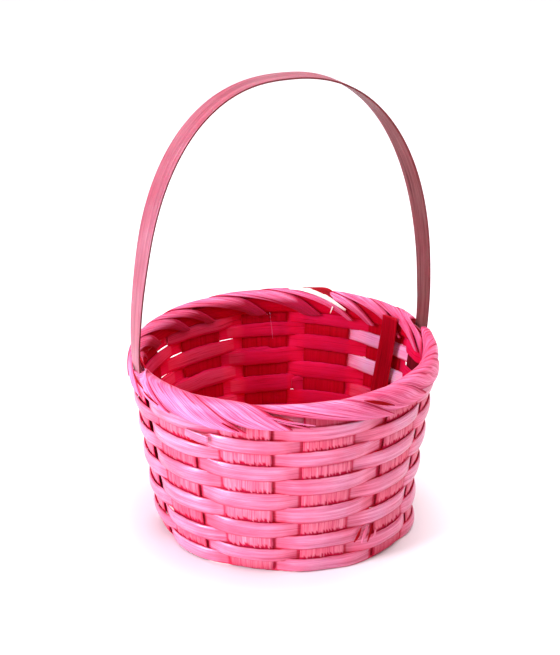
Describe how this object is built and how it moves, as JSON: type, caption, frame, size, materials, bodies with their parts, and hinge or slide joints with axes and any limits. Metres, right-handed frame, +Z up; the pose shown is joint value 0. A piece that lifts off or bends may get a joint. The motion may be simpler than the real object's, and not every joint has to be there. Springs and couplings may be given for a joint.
{
  "type": "woven basket",
  "caption": "Small round splint-woven basket with flared wall, crossed strip base, folded-strip rim and one fixed arched handle over the top.",
  "frame": {"origin": "centre of the basket's bounding box on the surface it stands on", "axes": "+Z up, from the base to the handle; +X along the handle's span, from one leg to the other"},
  "size_m": [0.1498, 0.15, 0.222],
  "materials": {
    "stake": "dyed bamboo strip, satin, upright grain",
    "weaver": "dyed bamboo splint, satin with a soft sheen along the fibres",
    "rim_hoop": "dyed bamboo splint, satin",
    "handle": "dyed bamboo strip, satin",
    "splint": "dark dyed bamboo splint, satin"
  },
  "bodies": {
    "root": {"stake_strip_y1": "stake", "stake_strip_y2": "stake", "stake_strip_y3": "stake", "stake_strip_x1": "stake", "stake_strip_x2": "stake", "stake_strip_x3": "stake", "weaver_01": "weaver", "weaver_02": "weaver", "weaver_03": "weaver", "weaver_04": "weaver", "weaver_05": "weaver", "weaver_06": "weaver", "weaver_07": "weaver", "weaver_08": "weaver", "weaver_09": "weaver", "weaver_10": "weaver", "weaver_11": "weaver", "rim_hoop": "rim_hoop", "handle": "handle", "inner_splint": "splint"}
  },
  "joints": []
}
